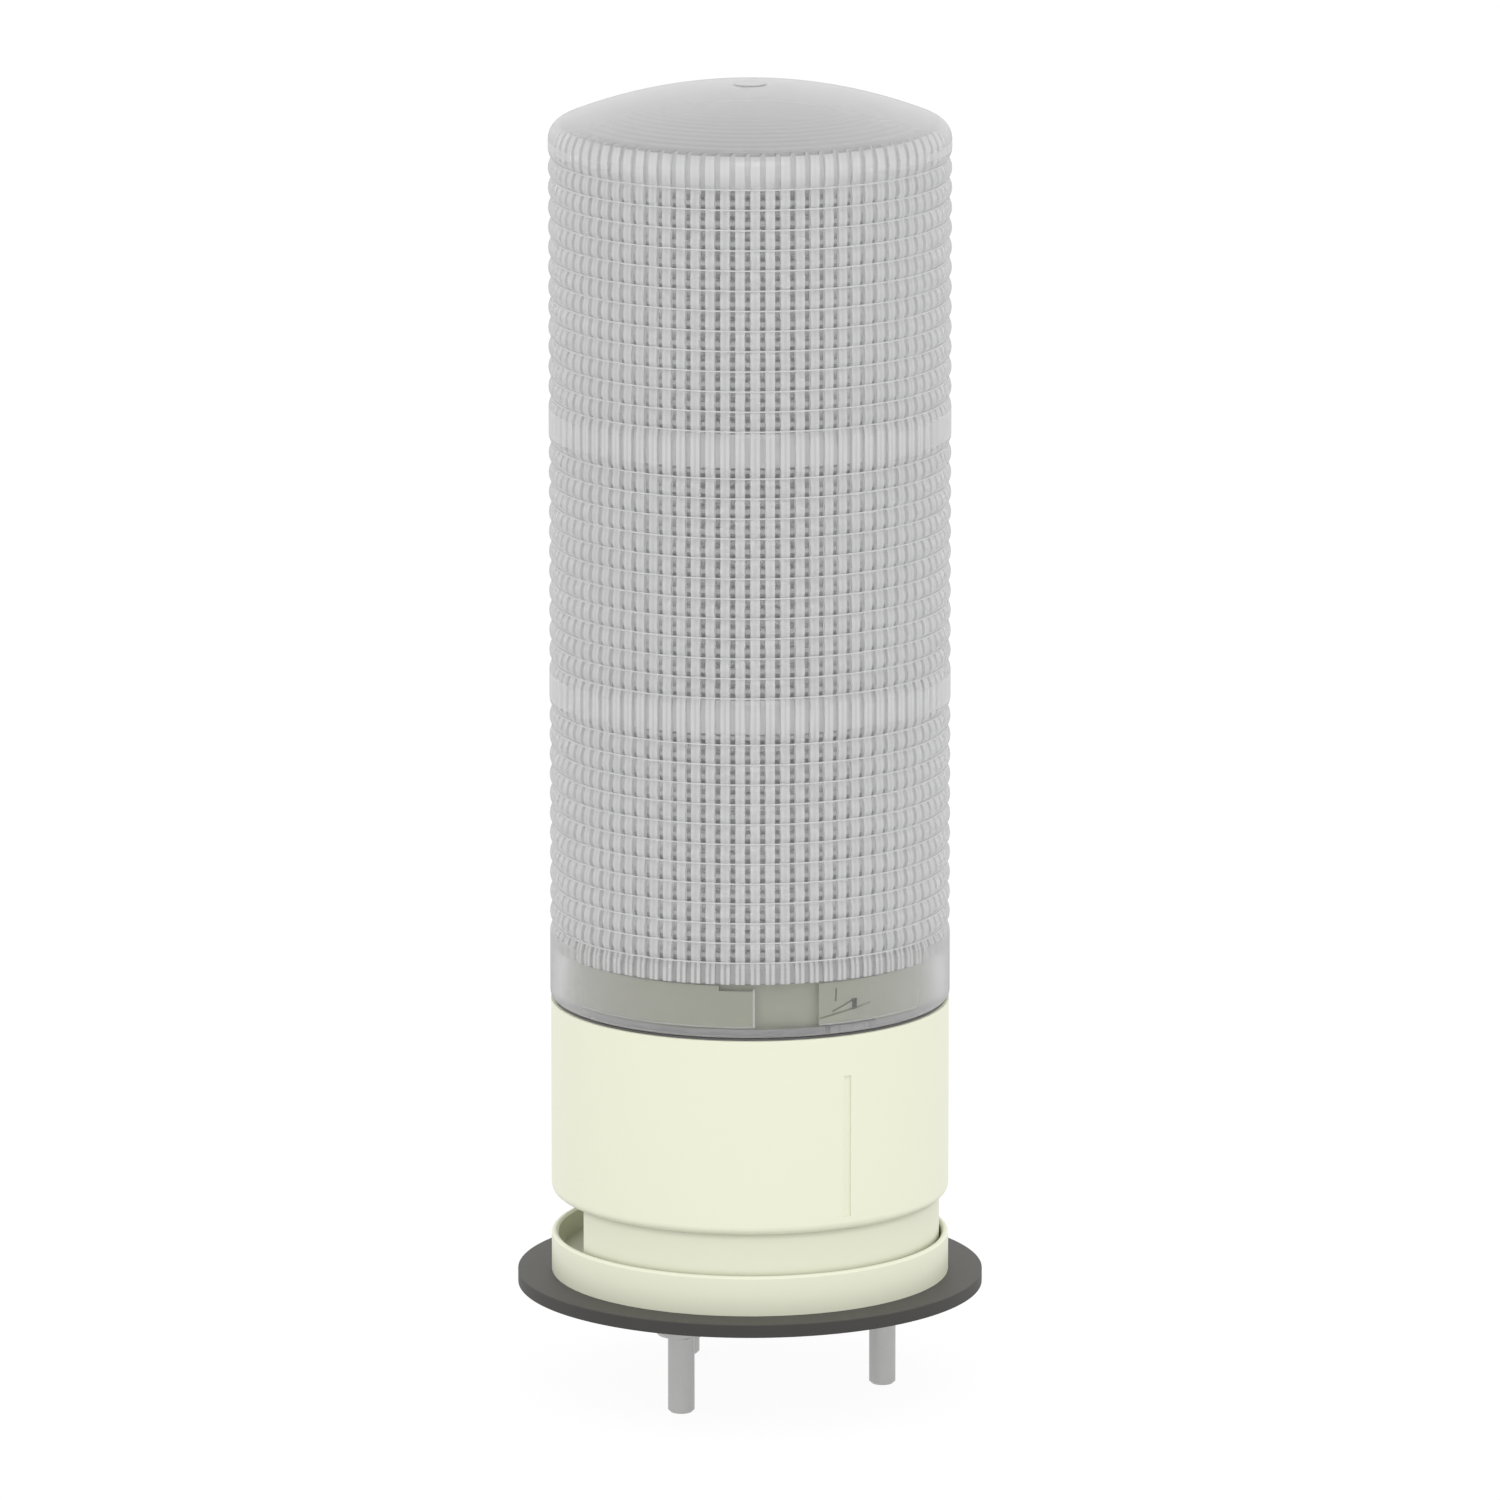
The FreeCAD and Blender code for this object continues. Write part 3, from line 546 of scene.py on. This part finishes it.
# %% [markdown]
# # The dome's underside and the foot
# Under the dome the mould left fine rings, turned with the tool, which fade towards the middle.
# They are in the mesh, and the finish adds painted light and shade along them, a faint change of
# tone. The inside of the foot is frosted to a plain grey.

# %% Ringed and frosted plastic
ring_pitch = 1.22
rings_edge = 27.0
rings_full = 21.0
rings_gone = 13.0


def ringed_plastic():
    """The satin underside of the dome, with painted light and shade along rings that fade towards
    the middle.
    """
    material, recipe, place = start("ringed_plastic")
    radius = from_axis(recipe, place) / mm
    turns = (radius - rings_edge) * (2.0 * math.pi / ring_pitch)
    wave = turns.maths("COSINE", turns)
    fade = recipe.add("ShaderNodeMapRange", {"clamp": True}, {
        0: radius, 1: rings_gone, 2: rings_full, 3: 0.0, 4: 0.5})
    cloud = noise(recipe, place, 90.0)
    # painted light and shade: the tone follows the rings' wave
    tone = blend(recipe, 0.5 + wave * fade + 0.3 * (cloud - 0.5), grey(0.53), grey(0.61))
    return end(material, recipe, recipe.add("ShaderNodeBsdfPrincipled", {}, {
        "Base Color": tone, "Roughness": 0.45 + 0.1 * cloud, "IOR": plastic_ior}))


ringed = ringed_plastic()
frosted = finish("frosted_plastic", (0.58, 0.58, 0.585), 0.5, drift=0.02, drift_scale=200.0)
print("dome and foot:", ringed.name, frosted.name)

# %% [markdown]
# # Dress the CAD pieces
# Each CAD piece names its material slot in the record. The shapes are right as they are, so
# they only get their finish. Four pieces have a finish of their own.

# %% Give each CAD piece its finish
finish_of_slot = {
    "gasket_rubber": rubber, "plated_steel": steel, "circuit_board": board,
    "green_plastic": terminal_green, "capacitor_sleeve": sleeve_black,
    "black_plastic": moulded_black, "led_package": lamp, "white_plastic": white,
    "milky_plastic": milky, "clear_plastic": clear,
}
finish_of_node = {"base_body": cream_body, "base_flange": cream_cup,
                  "bayonet_chassis": collar_cream_painted_shade, "lens_seal": seal_rubber}
for entry in frame["record"]["subparts"]:
    dressing = finish_of_node.get(entry["node"]) or finish_of_slot[entry["material_slot"]]
    for material_slot in nodes[entry["node"]].material_slots:
        material_slot.material = dressing

# %% [markdown]
# # The lens, outside
# The lens is one moulding. Outside, three fields of round beads are parted by plain bands, with
# a smooth skirt below and a shallow dome above. The form is the same all round, so it is one
# profile turned about the axis. Each bead is an arc of a circle, and a small flat lies in each
# notch, where a mould's edge can't be sharp.

# %% Sizes of the outside, in millimetres
lens_radius = 30.0
lens_foot = 44.4
foot_round = 0.8
bead_depth = 0.65
notch_flat = 0.20
beads_per_field = (11, 11, 12)
side_top = 174.6
shoulder_round = 2.8
dome_radius = 75.0
gate_radius = 2.5
gate_height = 0.15
gate_slant = 0.1

bead_round = ((bead_pitch / 2) ** 2 + bead_depth ** 2) / (2 * bead_depth)
half_bead = bead_pitch / 2 - notch_flat / 2


def bead_radius(offset):
    """The lens's radius at a height from a bead's crest."""
    return lens_radius - bead_round + math.sqrt(bead_round ** 2 - offset ** 2)


notch_radius = bead_radius(half_bead)
print("radius in a notch:", round(notch_radius, 2), "mm")

# %% [markdown]
# # The profile's points
# The profile runs up from the foot. It is written as radius and height, in four stretches: the
# rounded foot, the fields of beads with half a bead at each end that runs into a plain band,
# the rounded shoulder, and the dome with the small raised gate mark in its middle.

# %% The outer profile
foot_steps = 3
bead_shares = (-1.0, -0.72, -0.36, 0.0, 0.36, 0.72, 1.0)
shoulder_steps = 6
dome_steps = 14


def outer_profile():
    """Radius and height from the foot's edge to the top, and the height of the dome's centre."""
    points = []
    for step in range(foot_steps + 1):
        turn = math.radians(90.0 * step / foot_steps)
        points.append((lens_radius - foot_round + foot_round * math.sin(turn),
                       lens_foot + foot_round - foot_round * math.cos(turn)))
    rise = [half_bead * share for share in bead_shares]
    from_crest, to_crest = rise[3:], rise[:4]
    level = beads_start
    for count in beads_per_field:
        crest = level - bead_pitch / 2
        points += [(bead_radius(x), crest + x) for x in from_crest]
        for bead in range(count):
            crest = level + bead_pitch / 2
            points += [(bead_radius(x), crest + x) for x in rise]
            level += bead_pitch
        crest = level + bead_pitch / 2
        points += [(bead_radius(x), crest + x) for x in to_crest]
        level += band_height
    turn_in = lens_radius - shoulder_round
    sink = math.sqrt((dome_radius - shoulder_round) ** 2 - turn_in ** 2)
    slope = math.atan2(sink, turn_in)
    for step in range(shoulder_steps + 1):
        turn = slope * step / shoulder_steps
        points.append((turn_in + shoulder_round * math.cos(turn),
                       side_top + shoulder_round * math.sin(turn)))
    edge = points[-1][0]
    for step in range(1, dome_steps + 1):
        radius = edge + (gate_radius - edge) * step / dome_steps
        points.append((radius, side_top - sink + math.sqrt(dome_radius ** 2 - radius ** 2)))
    points.append((gate_radius - gate_slant, points[-1][1] + gate_height))
    return points, side_top - sink


profile, dome_centre = outer_profile()
print("outer profile points:", len(profile), "top at", round(profile[-1][1], 2), "mm")

# %% [markdown]
# # The lens, inside
# Eighty upright ribs line the inside, each with slanted flanks and a flat top, and with a flat
# between it and the next. The outline is the same at every height, so it is one list of
# corners. The height is cut into zones, because the finish changes behind the plain bands.
# Under the dome are fine rings that fade towards the middle.

# %% The inner outline and the dome's rings
rib_foot_share = 0.40
rib_top_share = 0.32
flat_radius = 27.9
rib_radius = 27.1
skirt_radius = 28.0
hollow_radius = 26.7
dome_wall = 1.4
ring_height = 0.08
ring_steps = 88
innermost_ring = 0.6
zone_levels = (52.3, 55.4, 88.9, 90.2, 94.7, 95.6, 128.9, 130.2, 134.7, 135.6, 172.2, 176.2)
zone_finishes = (foot, None, "ends", bright, "ends", None, "ends", bright, "ends", None, rim)


def rib_outline():
    """Angle and radius of each corner round the ribbed inside, in degrees and millimetres."""
    pitch = 360.0 / rib_count
    corners = []
    for i in range(rib_count):
        middle = rib_angle + pitch * i
        corners += [(middle - rib_foot_share * pitch / 2, flat_radius),
                    (middle - rib_top_share * pitch / 2, rib_radius),
                    (middle + rib_top_share * pitch / 2, rib_radius),
                    (middle + rib_foot_share * pitch / 2, flat_radius)]
    return corners


def dome_inside():
    """Radius and height of the dome's underside, from its edge to near the middle."""
    points = []
    inner = dome_radius - dome_wall
    for step in range(ring_steps):
        radius = hollow_radius + (innermost_ring - hollow_radius) * step / (ring_steps - 1)
        fade = min(1.0, max(0.0, (radius - rings_gone) / (rings_full - rings_gone)))
        wave = ring_height * fade * math.cos(2.0 * math.pi * (radius - rings_edge) / ring_pitch)
        points.append((radius, dome_centre + math.sqrt(inner ** 2 - radius ** 2) + wave))
    return points


corners = rib_outline()
underside = dome_inside()
print("corners round the inside:", len(corners))

# %% [markdown]
# # Lugs at the lens's foot
# Three lugs stand inwards from the skirt. They go down through the entries in the chassis's
# collar, and a twist of twenty degrees locks them. They are part of the moulding, so they are
# made in its inner wall: between two heights the wall steps inwards over a span of seventeen
# degrees.

# %% Where the lugs are
lug_middle = -87.6
lug_span = 17.0
lug_inner = 26.6
lug_low = 44.7
lug_high = 45.6


def in_lug(angle):
    """Whether an angle lies within one of the three lugs."""
    return abs((angle - lug_middle + 60.0) % 120.0 - 60.0) < lug_span / 2


print("corners of the inner wall in each lug:", sum(in_lug(a) for a, r in corners) // 3)

# %% [markdown]
# # Helpers that join rings of points
# Each level of the lens is a ring of points. Rings with the same number of points are joined
# by four-sided faces. Where the outside meets the inside, a ring of 160 points meets one of
# 320, so each outer step is joined to two inner steps. Modifiers could turn a profile, but
# they can't give each strip of the wall its own finish, so the faces are made one by one.

# %% Rings and joins
columns = 160
lens_finishes = [clear, satin, stripes, deep, band, skirt, notch, bright, rim, foot, ringed,
                 frosted]
mesh = bmesh.new()


def paint(faces, material):
    """Give faces one of the lens's finishes."""
    for face in faces:
        face.material_index = lens_finishes.index(material)


def ring(places):
    """A ring of points from angle, radius and height."""
    return [mesh.verts.new((r * mm * math.cos(math.radians(a)), r * mm * math.sin(math.radians(a)),
                            z * mm)) for a, r, z in places]


def plain_ring(radius, height):
    """A round ring with one point per column."""
    return ring([(rib_angle + 360.0 * i / columns, radius, height) for i in range(columns)])


def lug_corners(wall, height):
    """A wall's ring with its points moved in at the lugs, and shared with the wall elsewhere."""
    return [ring([(a, lug_inner, height)])[0] if in_lug(a) else here
            for (a, r), here in zip(corners, wall)]


def join(lower, upper):
    """Join two rings with the same number of points. Where they share points, no face is made."""
    turned_on = lower[1:] + lower[:1], upper[1:] + upper[:1]
    made = []
    for four in zip(lower, turned_on[0], turned_on[1], upper):
        corners_of_face = list(dict.fromkeys(four))
        if len(corners_of_face) > 2:
            made.append(mesh.faces.new(corners_of_face))
    return made


def join_fine(coarse, fine, outward):
    """Join a ring to one with twice as many points, starting at the same side."""
    count = len(coarse)
    made = []
    for i in range(count):
        j = (i + 1) % count
        a, b, c = fine[(2 * i - 1) % len(fine)], fine[2 * i], fine[(2 * i + 1) % len(fine)]
        for face in ((coarse[i], a, b), (coarse[i], b, c), (coarse[i], c, coarse[j])):
            made.append(mesh.faces.new(face if outward else face[::-1]))
    return made


def close(last, height):
    """Close a ring with a point on the axis."""
    middle = mesh.verts.new((0.0, 0.0, height * mm))
    return [mesh.faces.new((here, there, middle)) for here, there in zip(last, last[1:] + last[:1])]


print("columns round the outside:", columns)

# %% [markdown]
# # Build the outside
# The profile is turned into rings, and the rings are joined from the foot up. Each band of
# faces gets its finish from where its two ends lie: in a notch, on the skirt, or on a plain
# band. All other faces keep the clear plastic.

# %% The outer wall and the dome
def lies_at(ends, wanted):
    """Whether both ends of a stretch of the profile lie at a radius."""
    return all(abs(radius - wanted) < 0.001 for radius, height in ends)


outer_rings = [plain_ring(r, z) for r, z in profile]
for place_up, (lower, upper) in enumerate(zip(outer_rings, outer_rings[1:])):
    wall = join(lower, upper)
    ends = profile[place_up], profile[place_up + 1]
    if lies_at(ends, notch_radius):
        paint(wall, notch)
    elif ends[1][1] < beads_start - bead_pitch / 4:
        paint(wall, skirt)
    elif lies_at(ends, lens_radius):
        paint(wall, band)
close(outer_rings[-1], profile[-1][1])
print("faces outside:", len(mesh.faces))

# %% [markdown]
# # Build the skirt's inside and the lugs
# The inner wall goes straight up from the foot. At the lugs it steps in and out again. It is
# frosted below and beside the lugs and on their tops. Their undersides and inner faces are
# satin, so that the lugs show only faintly through the foot, as moulded lugs do.

# %% The skirt's inner wall
skirt_low = ring([(a, skirt_radius, lens_foot) for a, r in corners])
lug_foot = ring([(a, skirt_radius, lug_low) for a, r in corners])
lug_head = ring([(a, skirt_radius, lug_high) for a, r in corners])
lug_foot_in = lug_corners(lug_foot, lug_low)
lug_head_in = lug_corners(lug_head, lug_high)
skirt_high = ring([(a, skirt_radius, zone_levels[0]) for a, r in corners])
paint(join(skirt_low, lug_foot), frosted)
paint(join(lug_foot, lug_foot_in), satin)
for (angle, radius), face in zip(corners, join(lug_foot_in, lug_head_in)):
    paint([face], satin if in_lug(angle) else frosted)
paint(join(lug_head_in, lug_head), frosted)
paint(join(lug_head, skirt_high), deep)
print("faces with the skirt's inside:", len(mesh.faces))

# %% [markdown]
# # Build the ribs
# Each zone is one ring of tall faces. Every fourth face is a rib's top. In the fields the tops
# are polished and the rest is satin. At both ends of a plain band the tops are still polished
# while the rest is bright, so the dark stripes run a little way into the band.

# %% The ribbed wall
rib_rings = [ring([(a, r, z) for a, r in corners]) for z in zone_levels]
join(skirt_high, rib_rings[0])
field_finishes = (satin, stripes, satin, satin)
end_finishes = (bright, stripes, bright, bright)
for zone, lower, upper in zip(zone_finishes, rib_rings, rib_rings[1:]):
    for place_in_ring, face in enumerate(join(lower, upper)):
        if zone is None:
            paint([face], field_finishes[place_in_ring % 4])
        elif zone == "ends":
            paint([face], end_finishes[place_in_ring % 4])
        else:
            paint([face], zone)
print("faces with the ribs:", len(mesh.faces))

# %% [markdown]
# # Close the foot and the dome
# A ring of flat faces closes the foot between the outer and the inner wall. The dome's
# underside closes the inside, so the lens is one solid wall of plastic, as light needs it to
# be.

# %% The foot and the dome's underside
join_fine(outer_rings[0], skirt_low, True)
dome_rings = [plain_ring(hollow_radius, zone_levels[-1])] + [plain_ring(r, z) for r, z in underside]
paint(join_fine(dome_rings[0], rib_rings[-1], False), ringed)
for lower, upper in zip(dome_rings, dome_rings[1:]):
    paint(join(lower, upper), ringed)
paint(close(dome_rings[-1], underside[-1][1]), ringed)
print("lens faces:", len(mesh.faces))

# %% [markdown]
# # Make the lens from its mesh
# Smooth shading rounds the beads, and edges sharper than a set angle stay crisp, such as those
# of the ribs. The lens takes the place of the CAD model's lens and rides on the same body, so
# it turns with it.

# %% The lens
crisp_angle = math.radians(32.0)

bmesh.ops.recalc_face_normals(mesh, faces=mesh.faces)
lens_mesh = bpy.data.meshes.new("ribbed_lens")
mesh.to_mesh(lens_mesh)
mesh.free()
lens_mesh.shade_smooth()
lens_mesh.set_sharp_from_angle(angle=crisp_angle)
for material in lens_finishes:
    lens_mesh.materials.append(material)
lens = bpy.data.objects.new("ribbed_lens", lens_mesh)
bpy.context.scene.collection.objects.link(lens)
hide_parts("lens_globe")
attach(lens, "lens")
lens_mesh.calc_loop_triangles()
print("lens triangles:", len(lens_mesh.loop_triangles))

# %% [markdown]
# # Bent bars
# Through the skirt, the collar shows fine lines of light and shade. They could be painted on the
# collar, but thin bars with real edges stay right from every side, pale as painted highlight and
# dark as painted shade. Each is a box bent round the tower, with its outer edges eased.

# %% A helper for bent bars
bar_ease = 0.08
bar_step = 2.0


def bent_bar(target, first, last, low, high, inner, outer):
    """A bar bent round the tower between two angles, two heights and two radii."""
    steps = max(1, round((last - first) / bar_step))
    section = ((inner, low), (outer, low + bar_ease), (outer, high - bar_ease), (inner, high))
    sections = []
    for step in range(steps + 1):
        turn = math.radians(first + (last - first) * step / steps)
        sections.append([target.verts.new((
            r * mm * math.cos(turn), r * mm * math.sin(turn), z * mm)) for r, z in section])
    for before, after in zip(sections, sections[1:]):
        for i in range(4):
            j = (i + 1) % 4
            target.faces.new((before[i], before[j], after[j], after[i]))
    target.faces.new(sections[0][::-1])
    target.faces.new(sections[-1])


def bars_piece(name, bars, material):
    """One piece made of bent bars, repeated at the three bayonet places."""
    target = bmesh.new()
    for third in range(3):
        for first, last, *rest in bars:
            bent_bar(target, first + 120.0 * third, last + 120.0 * third, *rest)
    bmesh.ops.recalc_face_normals(target, faces=target.faces)
    data = bpy.data.meshes.new(name)
    target.to_mesh(data)
    target.free()
    data.materials.append(material)
    piece = bpy.data.objects.new(name, data)
    bpy.context.scene.collection.objects.link(piece)
    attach(piece, "base")
    return piece


print("bars are ready")

# %% [markdown]
# # Fine edges and pockets of the bayonet collar
# A pale line of painted highlight runs along the collar's foot and up the left side of each
# entry, where its moulded edge catches the light, and stops at the entries. In the catch a black
# bar is painted shade for a small pocket in deep shade. The bars lie on the collar, which stays
# with the base, clear of the lens, whose skirt turns half a millimetre outside the collar.

# %% Pale edges and dark pockets
collar_radius = 27.5
edge_root = collar_radius - 0.1
edge_out = collar_radius + 0.25
entry_left = -117.5
entry_right = -97.7
upright_left = entry_left - 0.7
edge_low = 45.7
edge_high = 46.0
entry_top = 51.6
pocket_left = -86.5
pocket_right = -84.9
pocket_low = 47.8
pocket_high = 49.3
pocket_root = collar_radius - 0.4
pocket_out = collar_radius + 0.05

# painted highlight: a pale cream for the moulded edge where it catches the light
painted_highlight_edge = finish("painted_highlight_edge", (0.97, 0.97, 0.93), 0.4, drift=0.01)
edges = bars_piece("collar_edges", [
    (entry_right - 120.0, entry_left, edge_low, edge_high, edge_root, edge_out),
    (upright_left, entry_left, edge_low, entry_top, edge_root, edge_out)], painted_highlight_edge)
# painted shade: a black bar in each catch, where the pocket lies in deep shade
pocket_shade = bars_piece("collar_pocket_shade", [
    (pocket_left, pocket_right, pocket_low, pocket_high, pocket_root, pocket_out)],
    moulded_black)
print("collar pieces:", edges.name, pocket_shade.name)

# %% [markdown]
# # Floor
# The photo's ground is white. The floor is a pale matt plane under the studs. To the camera,
# and in mirrors and glass, it looks nearly pure white and keeps only a trace of shadow. For the
# soft light that it sends back up it is a plain pale floor, so the tower isn't lit too strongly
# from below.

# %% Floor and its material
floor_height = -16.05
floor_reach = 8.0
most_glow = 0.9
glow_strength = 1.05


def pale_floor():
    """A matt floor that looks white to the eye."""
    material, recipe, place = start("pale_floor")
    rays = recipe.add("ShaderNodeLightPath")
    seen = (rays.output("Is Camera Ray") + rays.output("Is Glossy Ray")
            + rays.output("Is Transmission Ray"))
    cloud = noise(recipe, place, 3.0)
    matt = recipe.add("ShaderNodeBsdfDiffuse", {}, {
        "Color": blend(recipe, cloud, grey(0.60), grey(0.64))})
    glow = recipe.add("ShaderNodeEmission", {}, {"Color": grey(1.0), "Strength": glow_strength})
    return end(material, recipe, recipe.add("ShaderNodeMixShader", {}, {
        0: seen.maths("MINIMUM", seen, most_glow), 1: matt, 2: glow}))


floor_mesh = bpy.data.meshes.new("floor")
floor_mesh.from_pydata(
    [(x * floor_reach, y * floor_reach, floor_height * mm)
     for x, y in ((-1, -1), (1, -1), (1, 1), (-1, 1))], [], [(0, 1, 2, 3)])
floor_mesh.materials.append(pale_floor())
floor = bpy.data.objects.new("floor", floor_mesh)
bpy.context.scene.collection.objects.link(floor)
print("floor at", floor_height, "mm")

# %% [markdown]
# # Light
# The photo has the even light of a white tent, with no hard shadow. A white world gives that.
# One large soft lamp, in front, above and a little to the left, adds a little shape.

# %% World and lamp
sky_strength = 1.22
lamp_width = 1.2
lamp_watts = 6.0

world = bpy.data.worlds.new("white_tent")
bpy.context.scene.world = world
sky = Recipe(world)
sky.add("ShaderNodeOutputWorld", {}, {"Surface": sky.add("ShaderNodeBackground", {}, {
    "Color": grey(1.0), "Strength": sky_strength})})

lamp_data = bpy.data.lights.new("soft_lamp", "AREA")
lamp_data.shape = "DISK"
lamp_data.size = lamp_width
lamp_data.energy = lamp_watts
soft_lamp = bpy.data.objects.new("soft_lamp", lamp_data)
bpy.context.scene.collection.objects.link(soft_lamp)
soft_lamp.location = (-0.7, -1.6, 1.5)
tower_middle = Vector((0.0, 0.0, 0.08))
soft_lamp.rotation_euler = (tower_middle - soft_lamp.location).to_track_quat("-Z", "Y").to_euler()
print("lamp power in watts:", lamp_watts)
